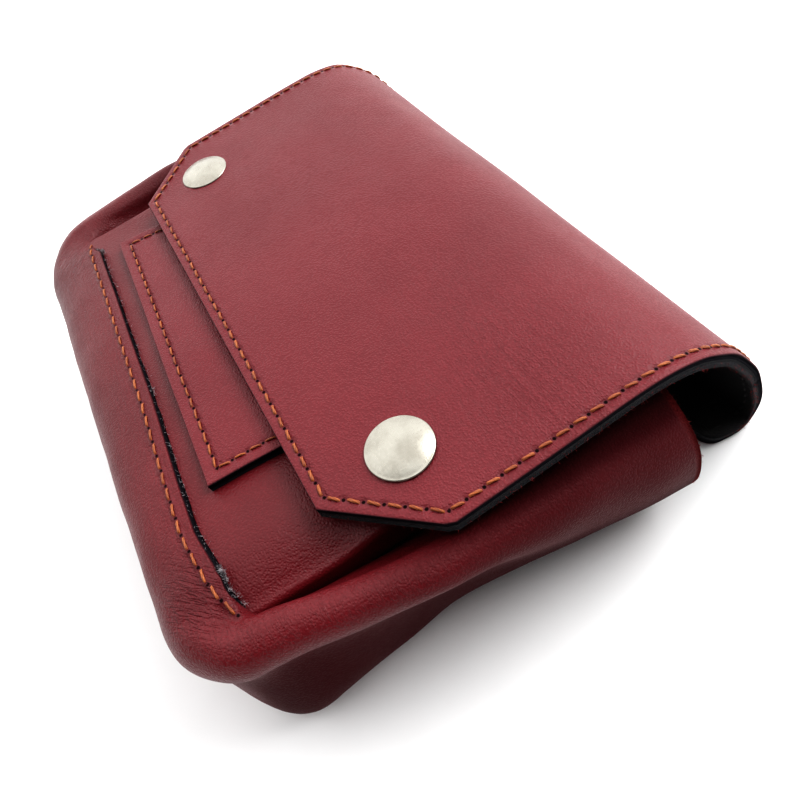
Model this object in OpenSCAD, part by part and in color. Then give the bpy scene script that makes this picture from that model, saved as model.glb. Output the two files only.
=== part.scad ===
// Soft leather case with a wrap-over flap held by two press studs.
// The case lies on its back: +Z is up out of the flap, +X runs along the width,
// and -Y points to the closed bottom end, +Y to the spine that the flap folds over.
// The origin is at the middle of the footprint, on the resting face.

/* [Flap] */
// Width of the flap across the case
flap_w = 165; // [160:1:168]
// Height of the flap's top face above the resting face
flap_z = 52.4; // [52.2:0.1:53]
// Position of the flap's free edge along the depth
flap_edge_y = -30.15; // [-31:0.05:-29]
// How far each cut corner runs along the free edge
corner_x = 18.7; // [14:0.1:20]
// How far each cut corner runs along the side edge
corner_y = 20; // [15:0.5:21]
// Thickness of the flap's outer leather
flap_skin_t = 1.4; // [1.2:0.1:1.4]
// Thickness of the black lining under it
flap_lining_t = 1.4; // [1.2:0.1:1.4]

/* [Spine] */
// Where the flap starts to bend down, along the depth
bend_y = 32.85; // [32.5:0.05:33]
// Radius of the first, wide bend
bend_r1 = 36; // [35.5:0.1:36.2]
// Radius of the nearly straight stretch behind it
bend_r2 = 70; // [69:0.5:71]
// Distance from the mouth side that the sewn tail reaches under the case
tail_y = 18; // [10:1:24]
// Where the bent sheet narrows to the back panel's width, along the depth
shoulder_y = 58.5; // [57:0.5:60]

/* [Body] */
// Thickness of the soft body leather
soft_t = 1.3; // [1.1:0.1:1.3]
// Thickness of the back panel
back_t = 1.4; // [1.3:0.1:1.4]
// Half width of the front panel, over its turned-down edges
front_half_w = 71.5; // [70.5:0.1:71.5]
// Position of the open mouth along the depth
mouth_y = 42.85; // [40:0.05:43]
// Height of the front panel where the studs sit
front_low_z = 43.8; // [43.6:0.1:44]
// Height of the front panel at its bottom seam
front_high_z = 47.8; // [47.6:0.1:47.9]

/* [Slip pocket] */
// Length of the slip pocket across the case
pocket_l = 100; // [80:1:104]
// Depth of the slip pocket, from its closed edge to its open edge
pocket_d = 42; // [30:1:44]
// Thickness of the slip pocket's leather
pocket_t = 2.6; // [2:0.1:2.6]
// Angle at which the front's seam lines are sewn askew
front_skew = 2.4; // [0:0.1:2.5]

/* [Press studs] */
// Distance of each press stud from the middle
snap_x = 62.8; // [60:0.1:64]
// Position of the press studs along the depth
snap_y = -9.75; // [-12:0.05:-8]
// Radius of the domed cap
cap_r = 7.5; // [6.5:0.1:7.5]
// Radius of the stud's head
stud_r = 2.95; // [2.8:0.05:3]

/* [Stitching] */
// Length of one flap stitch, hole to hole
stitch_pitch = 4; // [3.5:0.1:5]
// Width of the thread
thread_w = 0.8; // [0.6:0.1:1]
// Distance of the flap's stitch line from its edge
flap_stitch_in = 2.5; // [2:0.1:4]

/* [Hidden] */

burgundy = "#7a2a33";
black = "#15131a";
thread_colour = "#b8672a";
nickel = "#b9b5a6";

flap_t = flap_skin_t + flap_lining_t;
flap_half_w = flap_w / 2;
tail_z = back_t;

// The flap, spine and tail are one bent sheet. Angles along it are turned from the flat flap:
// bend 1 ends at turn_1, bend 2 at turn_2, and the tight bottom bend at a half turn.
turn_1 = 64;
turn_2 = 84;
bend_c1 = [bend_y, flap_z - bend_r1];
bend_c2 = bend_c1 + (bend_r1 - bend_r2) * [sin(turn_1), cos(turn_1)];
bend_r3 = (bend_c2[1] + bend_r2 * cos(turn_2) - tail_z) / (1 + cos(turn_2));
bend_c3 = bend_c2 + (bend_r2 - bend_r3) * [sin(turn_2), cos(turn_2)];

// Fold lines of the two joints, on the outer face of the sheet
flap_fold_turn = 50;
spine_fold_turn = 132;
fold_gap = 0.3;
gap_1 = fold_gap / 2 / bend_r1 * 180 / PI;
gap_3 = fold_gap / 2 / bend_r3 * 180 / PI;

// The gusset's corners turn about [corner_cx, corner_cy]; its sections are measured out from there.
corner_cx = 60;
corner_cy = -50;
lip_gap = 0.4;

leather_fn = 48;
snap_fn = 64;
$fn = leather_fn;

function bend_centre(turn) = turn <= turn_1 ? bend_c1 : turn <= turn_2 ? bend_c2 : bend_c3;
function bend_radius(turn) = turn <= turn_1 ? bend_r1 : turn <= turn_2 ? bend_r2 : bend_r3;
// Point [y, z] of the bent sheet, at a depth below its outer face
function bend_point(turn, depth) =
    bend_centre(turn) + (bend_radius(turn) - depth) * [sin(turn), cos(turn)];
function bend_run(from, to, depth, steps) =
    [for (i = [0:steps]) bend_point(from + (to - from) * i / steps, depth)];
function reversed(list) = [for (i = [len(list) - 1:-1:0]) list[i]];
function ease(t) = let (c = max(0, min(1, t))) c * c * (3 - 2 * c);

// Height of the front panel's outer face: high at the bottom seam, low under the flap
slope_from_y = -52;
slope_to_y = -20;
function front_z(y) =
    front_high_z + (front_low_z - front_high_z) * ease((y - slope_from_y) / (slope_to_y - slope_from_y));

// Draws a [y, z] outline and pulls it out to a width along X
module along_x(width) {
    rotate([90, 0, 90]) linear_extrude(height = width, center = true) children();
}

module at_snap(side) {
    translate([side * snap_x, snap_y, 0]) children();
}

// ---- Flap, spine and tail ----

module bent_sheet(from, to, depth_0, depth_1, before = [], after = []) {
    steps = ceil((to - from) / 4);
    outer = bend_run(from, to, depth_0, steps);
    inner = bend_run(from, to, depth_1, steps);
    along_x(flap_w) polygon([
        for (y = before) [y, flap_z - depth_0],
        for (p = outer) p,
        for (y = after) [y, tail_z + depth_0],
        for (y = after) [y, tail_z + depth_1],
        for (p = reversed(inner)) p,
        for (y = before) [y, flap_z - depth_1]
    ]);
}

module flap_outline() {
    far_y = bend_y + bend_r1 + 10;
    linear_extrude(height = 3 * flap_z, center = true) polygon([
        [-flap_half_w, far_y],
        [-flap_half_w, flap_edge_y + corner_y],
        [-flap_half_w + corner_x, flap_edge_y],
        [flap_half_w - corner_x, flap_edge_y],
        [flap_half_w, flap_edge_y + corner_y],
        [flap_half_w, far_y]
    ]);
}

shank_hole_r = 2;
module flap_sheet(depth_0, depth_1) {
    difference() {
        intersection() {
            bent_sheet(0, flap_fold_turn - gap_1, depth_0, depth_1, before = [flap_edge_y]);
            flap_outline();
        }
        for (side = [-1, 1]) at_snap(side) translate([0, 0, flap_z - 2 * flap_t])
            cylinder(r = shank_hole_r, h = 3 * flap_t, $fn = snap_fn);
    }
}

module flap_leather() { color(burgundy) flap_sheet(0, flap_skin_t); }
module flap_lining() { color(black) flap_sheet(flap_skin_t, flap_t); }

module spine_leather() {
    color(burgundy) bent_sheet(flap_fold_turn + gap_1, spine_fold_turn - gap_3, 0, flap_skin_t);
}
module spine_lining() {
    color(black) bent_sheet(flap_fold_turn + gap_1, spine_fold_turn - gap_3, flap_skin_t, flap_t);
}
// Narrow where it is sewn on, then full width past two rounded shoulders
shoulder_r = 4;
module tail_outline() {
    far_y = bend_y + bend_r1 + 10;
    linear_extrude(height = 3 * flap_z, center = true) union() {
        translate([-back_half_w, tail_y - 5]) square([2 * back_half_w, far_y - tail_y + 5]);
        translate([-flap_half_w, shoulder_y + shoulder_r])
            square([flap_w, far_y - shoulder_y - shoulder_r]);
        translate([-flap_half_w + shoulder_r, shoulder_y]) square([flap_w - 2 * shoulder_r, 2 * shoulder_r]);
        for (side = [-1, 1])
            translate([side * (flap_half_w - shoulder_r), shoulder_y + shoulder_r])
                circle(r = shoulder_r, $fn = 48);
    }
}
module tail_sheet(depth_0, depth_1) {
    intersection() {
        bent_sheet(spine_fold_turn + gap_3, 180, depth_0, depth_1, after = [tail_y]);
        tail_outline();
    }
}
module flap_tail() { color(burgundy) tail_sheet(0, flap_skin_t); }
module tail_lining() { color(black) tail_sheet(flap_skin_t, flap_t); }

// ---- One strip of leather around both sides and the bottom end, in three lengths ----

// Outer face of the strip as [u, z] points, from its inner top edge over the rolled rim,
// down the wall and in under the case. u is measured out from the corner's centre line.
function lip_u() = front_half_w + lip_gap - corner_cx;
section_mouth = [[lip_u(), 38.8], [12.1, 40.9], [13.3, 42.6], [16.8, 42.5], [21.8, 40.3], [27.5, 35.4],
                 [31.1, 29], [32, 20], [29.6, 12], [24.4, 6.6], [16, 4.2], [7, 4.2]];
section_d = [[lip_u(), 36.6], [12.9, 39.6], [15.2, 42], [19.3, 43.9], [23.8, 43.7], [28.2, 41],
             [30.6, 35.5], [30.3, 26], [27.2, 15.4], [23.5, 8.2], [16, 4.2], [7, 4.2]];
section_c = [[lip_u(), 34], [14.5, 38], [19, 42.8], [20.6, 46.5], [24.2, 48], [27.8, 46.6],
             [29.2, 43], [27.2, 35], [21.4, 14.4], [18.6, 6], [13, 1.4], [7, 1.4]];
section_b = [[lip_u(), 33], [13.2, 38], [16, 43.6], [17.6, 47.4], [21.2, 48.9], [24.8, 47.4],
             [26.2, 43.6], [25, 35], [22.7, 16.4], [20.5, 6.5], [14, 1.4], [7, 1.4]];
section_a = [[lip_u(), 32.4], [12.3, 39], [12.8, 44], [14.2, 48.2], [17.6, 49.4], [21.2, 48],
             [22.8, 44.2], [22.6, 36], [24, 19.4], [22.5, 8], [15, 1.4], [7, 1.4]];
section_corner_low = [[7.3, 49.3], [9.6, 48.9], [11.8, 48], [14, 48.6], [17.2, 49.4], [20.8, 47.8],
                      [22.5, 43.6], [22.4, 34], [23.2, 18], [21.5, 7], [14.5, 1.4], [7, 1.4]];
section_corner_mid = [[3.5, 49.3], [6.5, 49.2], [10, 48.7], [13.5, 48.8], [17, 48.8], [20.3, 46.4],
                      [22, 41.5], [22.2, 31], [22.2, 15], [19.8, 5.2], [13.5, 1.4], [7, 1.4]];
section_bottom = [[2.3, 49.4], [6, 49.5], [10, 49.4], [14.7, 48.4], [18.5, 45.9], [21.1, 41.9],
                  [22, 37.4], [22, 26], [22, 12], [19.4, 4.4], [13, 1.4], [7, 1.4]];
n_profile = len(section_bottom);

// Stations of the right half: [section, y along the side] and then [section, angle round the corner]
side_stations = [[section_mouth, mouth_y], [section_d, 15], [section_c, -15], [section_b, -33],
                 [section_a, corner_cy]];
corner_stations = [[section_a, 0], [section_corner_low, 20], [section_corner_mid, 45],
                   [section_bottom, 90]];

function mix(a, b, t) = a + (b - a) * t;
// Catmull-Rom curve between p1 and p2
function spline_point(p0, p1, p2, p3, t) =
    0.5 * (2 * p1 + (p2 - p0) * t + (2 * p0 - 5 * p1 + 4 * p2 - p3) * t * t
           + (3 * p1 - p0 - 3 * p2 + p3) * t * t * t);
function at_end(list, i) = list[max(0, min(len(list) - 1, i))];
// Section at a value along a list of stations whose values run one way
function section_at(stations, value, k = 0) =
    let (v0 = stations[k][1], v1 = stations[k + 1][1], t = (value - v0) / (v1 - v0))
    t <= 1 || k + 2 >= len(stations)
        ? [for (i = [0:n_profile - 1]) spline_point(at_end(stations, k - 1)[0][i], stations[k][0][i],
              stations[k + 1][0][i], at_end(stations, k + 2)[0][i], t)]
        : section_at(stations, value, k + 1);

// Height of the strip's foot: on the back panel, then up over the sewn tail near the mouth
foot_rise_y = [-14, 14];
function foot_z(y) =
    back_t + flap_t * ease((y - foot_rise_y[0]) / (foot_rise_y[1] - foot_rise_y[0]));

// A section rounded off, two steps to a span, and kept above its foot
spans = n_profile - 1;
function smooth(section, foot) = [
    for (p = [
        for (i = [0:spans - 1], t = [0, 0.5])
            spline_point(at_end(section, i - 1), section[i], section[i + 1], at_end(section, i + 2), t),
        section[spans]
    ]) [p[0], max(p[1], foot)]
];
// The same curve moved in by the leather's thickness
function inner_side(line) = [
    for (i = [0:len(line) - 1])
        let (d = at_end(line, i + 1) - at_end(line, i - 1))
        line[i] - soft_t * [-d[1], d[0]] / norm(d)
];
function band(section, foot = back_t) =
    let (outer = smooth(section, foot)) concat(outer, reversed(inner_side(outer)));

// The edge that is lapped over the front panel runs askew along the bottom end
function skewed_bottom(x) =
    let (shift = x * tan(front_skew))
    [for (i = [0:n_profile - 1])
        i == 0 ? section_bottom[0] + [shift, 0]
        : i == 1 ? section_bottom[1] + [shift / 2, 0] : section_bottom[i]];

side_ys = [mouth_y, 34, 25, 15, 10, 5, 0, -5, -10, -15, -24, -33, -42, corner_cy];
corner_angles = [0, 8, 16, 24, 33, 42, 52, 63, 76];
bottom_xs = [60, 20, -20, -60];
skew_share = 0.85;
function side_rings() = [
    for (y = side_ys) [for (p = band(section_at(side_stations, y), foot_z(y)))
        [corner_cx + p[0], y, p[1]]]
];
function corner_rings() = [
    for (a = corner_angles) [for (p = band(section_at(corner_stations, a)))
        [corner_cx + p[0] * cos(a), corner_cy - p[0] * sin(a), p[1]]]
];
function mirrored(rings) = [for (ring = reversed(rings)) [for (p = ring) [-p[0], p[1], p[2]]]];
function bottom_rings() = [
    for (x = bottom_xs) [for (p = band(skewed_bottom(x * skew_share))) [x, corner_cy - p[0], p[1]]]
];

module loft(rings) {
    n = len(rings[0]);
    m = len(rings);
    polyhedron(
        points = [for (ring = rings, p = ring) p],
        faces = [
            [for (i = [n - 1:-1:0]) i],
            for (r = [0:m - 2], i = [0:n - 1])
                [r * n + i, r * n + (i + 1) % n, (r + 1) * n + (i + 1) % n, (r + 1) * n + i],
            [for (i = [0:n - 1]) (m - 1) * n + i]
        ],
        convexity = 8
    );
}

module gusset(side) {
    color(burgundy) loft(side > 0 ? side_rings() : mirrored(side_rings()));
}
module bottom_strip() {
    color(burgundy) loft(concat(corner_rings(), bottom_rings(), mirrored(corner_rings())));
}

// ---- Front and back panels ----

front_bottom_y = -58;
front_cut = [61.5, -47.5];
lip_depths = [[front_cut[1], 32.8], [-33, 33.3], [-15, 34.3], [15, 36.9], [mouth_y, 39]];

module front_sheet(z_from, z_to) {
    ys = [for (i = [0:16]) mix(slope_from_y, slope_to_y, i / 16)];
    along_x(2 * front_half_w) polygon([
        [front_bottom_y, front_high_z + z_to],
        for (y = ys) [y, front_z(y) + z_to],
        [mouth_y, front_low_z + z_to],
        [mouth_y, front_low_z + z_from],
        for (y = reversed(ys)) [y, front_z(y) + z_from],
        [front_bottom_y, front_high_z + z_from]
    ]);
}

module turned_edge() {
    ys = [for (i = [0:8]) mix(lip_depths[0][0], slope_to_y, i / 8)];
    rotate([90, 0, 90]) linear_extrude(height = soft_t) polygon([
        for (p = lip_depths) p,
        [mouth_y, front_low_z - soft_t],
        for (y = reversed(ys)) [y, front_z(y) - soft_t]
    ]);
}

module front_panel() {
    color(burgundy) {
        difference() {
            front_sheet(-soft_t, 0);
            for (side = [-1, 1]) {
                at_snap(side) cylinder(r = shank_hole_r, h = 2 * flap_z, $fn = snap_fn);
                scale([side, 1, 1]) linear_extrude(height = 2 * flap_z) polygon([
                    [front_half_w + 1, front_cut[1]],
                    [front_half_w, front_cut[1]],
                    [front_cut[0], front_bottom_y],
                    [front_cut[0], front_bottom_y - 1],
                    [front_half_w + 1, front_bottom_y - 1]
                ]);
            }
        }
        translate([front_half_w - soft_t, 0, 0]) turned_edge();
        translate([-front_half_w, 0, 0]) turned_edge();
    }
}

pocket_mid = [-6.5, -25.2];
module pocket_outline() {
    translate(pocket_mid) rotate(-front_skew) square([pocket_l, pocket_d], center = true);
}

module slip_pocket() {
    color(burgundy) intersection() {
        front_sheet(0, pocket_t);
        linear_extrude(height = 2 * flap_z) pocket_outline();
    }
}

back_half_w = 76;
back_mouth_y = 50;
back_bottom_y = -65;
back_corner_r = 15;
module back_panel() {
    corner_x_mid = back_half_w - back_corner_r;
    color(burgundy) linear_extrude(height = back_t) union() {
        translate([-back_half_w, back_bottom_y + back_corner_r])
            square([2 * back_half_w, back_mouth_y - back_bottom_y - back_corner_r]);
        translate([-corner_x_mid, back_bottom_y]) square([2 * corner_x_mid, back_corner_r + 1]);
        for (side = [-1, 1])
            translate([side * corner_x_mid, back_bottom_y + back_corner_r]) circle(r = back_corner_r);
    }
}

// ---- Stitching: short bars of thread lying on the leather ----

thread_h = 0.5;
stitch_share = 0.8;
module bar(length) {
    translate([-length / 2, -thread_w / 2, 0]) cube([length, thread_w, thread_h]);
}

// Stitches along a straight line on a level face
module level_row(from, to, z, pitch = stitch_pitch) {
    run = to - from;
    count = max(1, round(norm(run) / pitch));
    for (i = [0:count - 1]) {
        mid = from + run * (i + 0.5) / count;
        translate([mid[0], mid[1], z]) rotate(atan2(run[1], run[0]))
            bar(norm(run) / count * stitch_share);
    }
}

// Stitches round a bend, on its outer face
module bend_row(x, from, to) {
    arc = (to - from) * PI / 180 * bend_radius((from + to) / 2);
    count = max(1, round(arc / stitch_pitch));
    for (i = [0:count - 1]) {
        turn = from + (to - from) * (i + 0.5) / count;
        p = bend_point(turn, 0);
        translate([x, p[0], p[1]]) rotate([-turn, 0, 0]) rotate(90)
            bar(min(arc / count * stitch_share, 2 * sqrt(2 * bend_radius(turn) * 0.1)));
    }
}

module flap_thread() {
    e = flap_stitch_in;
    side_x = flap_half_w - e;
    start_y = flap_edge_y + corner_y + e / 2;
    edge_x = flap_half_w - corner_x - e / 2;
    color(thread_colour) {
        level_row([-edge_x, flap_edge_y + e], [edge_x, flap_edge_y + e], flap_z);
        for (side = [-1, 1]) {
            level_row([side * edge_x, flap_edge_y + e], [side * side_x, start_y], flap_z);
            level_row([side * side_x, start_y], [side * side_x, bend_y], flap_z);
            bend_row(side * side_x, 0, flap_fold_turn - 1);
        }
    }
}

module spine_thread() {
    color(thread_colour) for (side = [-1, 1]) {
        x = side * (flap_half_w - flap_stitch_in);
        bend_row(x, flap_fold_turn + 1, turn_1);
        bend_row(x, turn_1, turn_2);
        bend_row(x, turn_2, spine_fold_turn - 4);
    }
}

bottom_seam_in = 2.9;
bottom_seam_half = 57;
module bottom_seam_thread() {
    z = section_bottom[1][1] + 0.03;
    edge_y = corner_cy - section_bottom[0][0] - bottom_seam_in;
    rise = bottom_seam_half * tan(front_skew) * skew_share;
    color(thread_colour)
        level_row([-bottom_seam_half, edge_y + rise], [bottom_seam_half, edge_y - rise], z, 4.6);
}

pocket_stitch_in = 3;
module pocket_thread() {
    half_l = pocket_l / 2 - pocket_stitch_in;
    y_closed = -pocket_d / 2 + pocket_stitch_in;
    y_open = pocket_d / 2 - 1;
    across = round(2 * half_l / stitch_pitch);
    along = round((y_open - y_closed) / stitch_pitch);
    spots = [
        for (i = [0:across - 1]) [mix(-half_l, half_l, (i + 0.5) / across), y_closed, 0],
        for (side = [-1, 1], i = [0:along - 1])
            [side * half_l, mix(y_closed, y_open, (i + 0.5) / along), 90]
    ];
    color(thread_colour) for (s = spots) {
        x = pocket_mid[0] + s[0] * cos(front_skew) + s[1] * sin(front_skew);
        y = pocket_mid[1] - s[0] * sin(front_skew) + s[1] * cos(front_skew);
        slope = atan2(front_z(y + 1) - front_z(y - 1), 2);
        translate([x, y, front_z(y) + pocket_t + 0.02]) rotate([slope, 0, 0])
            rotate(s[2] - front_skew) bar(stitch_pitch * stitch_share);
    }
}

base_seam_in = 5;
module base_seam_thread() {
    x = back_half_w - base_seam_in;
    y = back_bottom_y + base_seam_in;
    r = back_corner_r;
    z = back_t + soft_t;
    color(thread_colour) {
        level_row([-x + r, y], [x - r, y], z);
        for (side = [-1, 1]) {
            level_row([side * (x - r), y], [side * (x - r / 3.4), y + r / 3.4], z);
            level_row([side * (x - r / 3.4), y + r / 3.4], [side * x, y + r], z);
            foot_row(side * x, y + r, mouth_y - 2);
        }
    }
}

// Stitches along the gusset's foot, which rises over the tail
module foot_row(x, from, to) {
    count = round((to - from) / stitch_pitch);
    for (i = [0:count - 1]) {
        y = mix(from, to, (i + 0.5) / count);
        translate([x, y, foot_z(y) + soft_t + 0.08]) rotate([atan2(foot_z(y + 1) - foot_z(y - 1), 2), 0, 0])
            rotate(90) bar((to - from) / count * stitch_share);
    }
}

module tail_seam_thread() {
    color(thread_colour) for (y = [tail_y + 3, tail_y + 9])
        level_row([-flap_half_w + 17, y], [flap_half_w - 17, y], tail_z + flap_t);
}

// Hidden seam down in the valley between front panel and rim, sewn through both turned edges
module gusset_seam_thread(side) {
    count = 22;
    inner_x = front_half_w - soft_t;
    color(thread_colour) for (i = [0:count - 1]) {
        y = mix(corner_cy + 4, mouth_y - 4, i / (count - 1));
        z = lookup(y, lip_depths) + 2;
        translate([side * inner_x - (side > 0 ? thread_h : 0), y - 1.4, z - thread_w / 2])
            cube([thread_h, 2.8, thread_w]);
    }
}

// ---- Press studs ----

// Cap on the flap: dome above the leather, shank through it, clenched inside the socket
cap_h = 1.9;
shank_r = 1.9;
socket_web_t = 0.8;
module snap_cap(side) {
    top = flap_z;
    web_z = flap_z - flap_t - socket_web_t;
    dome_r = (cap_r * cap_r + cap_h * cap_h) / (2 * cap_h);
    dome_turn = asin(cap_r / dome_r);
    color(nickel) at_snap(side) rotate_extrude($fn = snap_fn) polygon([
        [0, top + cap_h],
        for (i = [1:8]) [dome_r * sin(dome_turn * i / 8 * 0.97),
                         top + cap_h - dome_r + dome_r * cos(dome_turn * i / 8 * 0.97)],
        [cap_r, top + 0.35],
        [cap_r, top + 0.1],
        [cap_r - 0.4, top],
        [shank_r, top],
        [shank_r, web_z],
        [2.6, web_z],
        [2.4, web_z - 0.5],
        [0, web_z - 0.5]
    ]);
}

// Socket under the flap: a cup with a groove that holds the ring spring
socket_r = 6.1;
socket_h = 4.4;
groove_z = 1.9;
mouth_r = 3.75;
groove_r = 4.6;
module snap_socket(side) {
    top = flap_z - flap_t;
    low = top - socket_h;
    color(nickel) at_snap(side) rotate_extrude($fn = snap_fn) polygon([
        [shank_hole_r, top],
        [socket_r - 0.5, top],
        [socket_r, top - 0.6],
        [socket_r - 0.3, low + 0.6],
        [socket_r - 1.1, low],
        [mouth_r, low],
        [mouth_r, low + groove_z - 0.45],
        [groove_r, low + groove_z - 0.45],
        [groove_r, low + groove_z + 0.45],
        [mouth_r, low + groove_z + 0.45],
        [mouth_r, top - socket_web_t],
        [shank_hole_r, top - socket_web_t]
    ]);
}

spring_wire_r = 0.35;
spring_r = 4.0;
spring_open = 24;
module snap_spring(side) {
    low = flap_z - flap_t - socket_h;
    color(nickel) at_snap(side) translate([0, 0, low + groove_z]) rotate(spring_open / 2)
        rotate_extrude(angle = 360 - spring_open, $fn = snap_fn)
            translate([spring_r, 0]) circle(r = spring_wire_r, $fn = 16);
}

// Stud on the front panel: flange, neck and head
stud_h = 3.4;
flange_t = 0.9;
module stud(side) {
    z = front_low_z;
    color(nickel) at_snap(side) rotate_extrude($fn = snap_fn) polygon([
        [shank_hole_r, z],
        [5.6, z],
        [5.9, z + 0.3],
        [5.7, z + flange_t],
        [2.6, z + flange_t],
        [2.5, z + 1.6],
        [stud_r, z + 2.2],
        [stud_r, z + 2.6],
        [2.3, z + 3.2],
        [1.6, z + stud_h],
        [0, z + stud_h],
        [0, z + 2.4],
        [shank_hole_r, z + 2.4]
    ]);
}

// Post under the front panel: a broad head with a shank up into the stud
post_head_r = 6.2;
module stud_post(side) {
    z = front_low_z - soft_t;
    color(nickel) at_snap(side) rotate_extrude($fn = snap_fn) polygon([
        [0, z],
        [0, front_low_z + 2.3],
        [shank_r, front_low_z + 2.3],
        [shank_r, z],
        [post_head_r - 0.2, z],
        [post_head_r, z - 0.3],
        [post_head_r - 0.4, z - 0.8],
        [0, z - 0.8]
    ]);
}

back_panel();
bottom_strip();
gusset(-1);  // gusset_left
gusset(1);  // gusset_right
front_panel();
slip_pocket();
flap_tail();
tail_lining();
bottom_seam_thread();
pocket_thread();
base_seam_thread();
tail_seam_thread();
gusset_seam_thread(-1);  // gusset_seam_thread_left
gusset_seam_thread(1);  // gusset_seam_thread_right
stud(-1);  // stud_left
stud(1);  // stud_right
stud_post(-1);  // stud_post_left
stud_post(1);  // stud_post_right
spine_leather();
spine_lining();
spine_thread();
flap_leather();
flap_lining();
flap_thread();
snap_cap(-1);  // snap_cap_left
snap_cap(1);  // snap_cap_right
snap_socket(-1);  // snap_socket_left
snap_socket(1);  // snap_socket_right
snap_spring(-1);  // snap_spring_left
snap_spring(1);  // snap_spring_right
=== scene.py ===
import math

import bpy
import numpy as np
from mathutils import Matrix, Vector


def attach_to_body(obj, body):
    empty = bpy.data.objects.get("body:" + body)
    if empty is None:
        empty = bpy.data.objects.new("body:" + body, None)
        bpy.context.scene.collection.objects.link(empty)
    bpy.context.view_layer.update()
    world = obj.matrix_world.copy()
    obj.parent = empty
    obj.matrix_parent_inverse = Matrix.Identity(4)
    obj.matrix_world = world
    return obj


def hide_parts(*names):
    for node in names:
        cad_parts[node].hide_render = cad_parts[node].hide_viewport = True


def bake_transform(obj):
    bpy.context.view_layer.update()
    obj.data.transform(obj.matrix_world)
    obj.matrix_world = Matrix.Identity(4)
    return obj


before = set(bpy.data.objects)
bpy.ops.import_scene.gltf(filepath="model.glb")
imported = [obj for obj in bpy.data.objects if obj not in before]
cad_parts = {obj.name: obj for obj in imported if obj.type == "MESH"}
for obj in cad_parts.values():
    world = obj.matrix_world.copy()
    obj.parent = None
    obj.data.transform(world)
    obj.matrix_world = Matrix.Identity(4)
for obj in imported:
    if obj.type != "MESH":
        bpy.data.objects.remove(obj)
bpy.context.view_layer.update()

# All lengths below are in millimetres, in the row frame. build() turns them into metres.
MM = 0.001

# ---- Small maths helpers ----


def unit(v):
    v = np.asarray(v, float)
    return v / np.maximum(np.linalg.norm(v, axis=-1, keepdims=True), 1e-12)


def outward(direction):
    """Unit direction a quarter turn left of each direction in a plane."""
    return unit(direction[..., ::-1] * [-1, 1])


def ease(t):
    t = np.clip(t, 0, 1)
    return t * t * (3 - 2 * t)


def curve_at(points, t):
    """Catmull-Rom curve through rows of points, at index values t. Works on any trailing shape."""
    n = len(points)
    t = np.clip(t, 0, n - 1)
    i = np.minimum(t.astype(int), n - 2)
    f = (t - i).reshape((-1,) + (1,) * (points.ndim - 1))
    p0, p1 = points[np.maximum(i - 1, 0)], points[i]
    p2, p3 = points[i + 1], points[np.minimum(i + 2, n - 1)]
    return 0.5 * (2 * p1 + (p2 - p0) * f + (2 * p0 - 5 * p1 + 4 * p2 - p3) * f ** 2
                  + (3 * p1 - p0 - 3 * p2 + p3) * f ** 3)


def run_lengths(points):
    """Distance along a line at each of its points."""
    return np.r_[0, np.cumsum(np.linalg.norm(np.diff(points, axis=0), axis=1))]


def wobble(points, scale, seed):
    """Smooth seeded noise between about -1 and 1, from a few turned sine waves."""
    local = np.random.default_rng(seed)
    total = np.zeros(len(points))
    for k in range(6):
        direction = unit(local.normal(size=3))
        wave = 2 * math.pi / (scale * local.uniform(0.6, 1.7))
        total += np.sin(points @ direction * wave + local.uniform(0, 6.28)) * local.uniform(0.6, 1)
    return total / 3.2


def nearest_on_path(points, path, counts):
    """Stitch count at the nearest place on a path, the distance to it, and on which side it lies."""
    best = np.full(len(points), np.inf)
    count = np.zeros(len(points))
    side = np.zeros(len(points))
    for a, b, count_a, count_b in zip(path[:-1], path[1:], counts[:-1], counts[1:]):
        d = b - a
        t = np.clip(((points - a) @ d) / (d @ d), 0, 1)
        off = points - a - t[:, None] * d
        distance = np.linalg.norm(off, axis=1)
        nearer = distance < best
        best = np.where(nearer, distance, best)
        count = np.where(nearer, count_a + (count_b - count_a) * t, count)
        side = np.where(nearer, np.sign(d[0] * off[:, 1] - d[1] * off[:, 0]), side)
    return count, best, side


def counted(points, pitch):
    """Stitch count along a line at each of its points, for a whole number of stitches."""
    run = run_lengths(points)
    return run / run[-1] * round(run[-1] / pitch)


def points_at(values, counts, line):
    """Points of a line where its count reaches each of the values."""
    return np.stack([np.interp(values, counts, axis) for axis in line.T], axis=1)


def corner_counted(corners, pitch):
    """Stitch count at each corner of a line, with a whole number of stitches on each straight."""
    return np.r_[0, np.cumsum(np.round(np.diff(run_lengths(corners)) / pitch))]


# ---- Mesh helpers ----


def grid_faces(rows, cols, wrap=False, start=0, flip=False):
    """Quads of a grid of points stored row by row. wrap joins the last column to the first."""
    r = np.arange(rows - 1)[:, None]
    c = np.arange(cols if wrap else cols - 1)[None, :]
    a, b = r * cols + c, r * cols + (c + 1) % cols
    quads = np.stack([a, b, b + cols, a + cols], axis=-1).reshape(-1, 4) + start
    return quads[:, ::-1] if flip else quads


def slab_faces(rows, cols):
    """Faces of a closed slab: a grid of upper points, then the same grid of lower points."""
    n = rows * cols
    faces = [grid_faces(rows, cols), grid_faces(rows, cols, start=n, flip=True)]
    across, down = np.arange(cols), np.arange(rows) * cols
    for rim in (across[::-1], (rows - 1) * cols + across, down, (down + cols - 1)[::-1]):
        a, b = rim[:-1], rim[1:]
        faces.append(np.stack([a, b, b + n, a + n], axis=1)[:, ::-1])
    return np.concatenate(faces)


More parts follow.
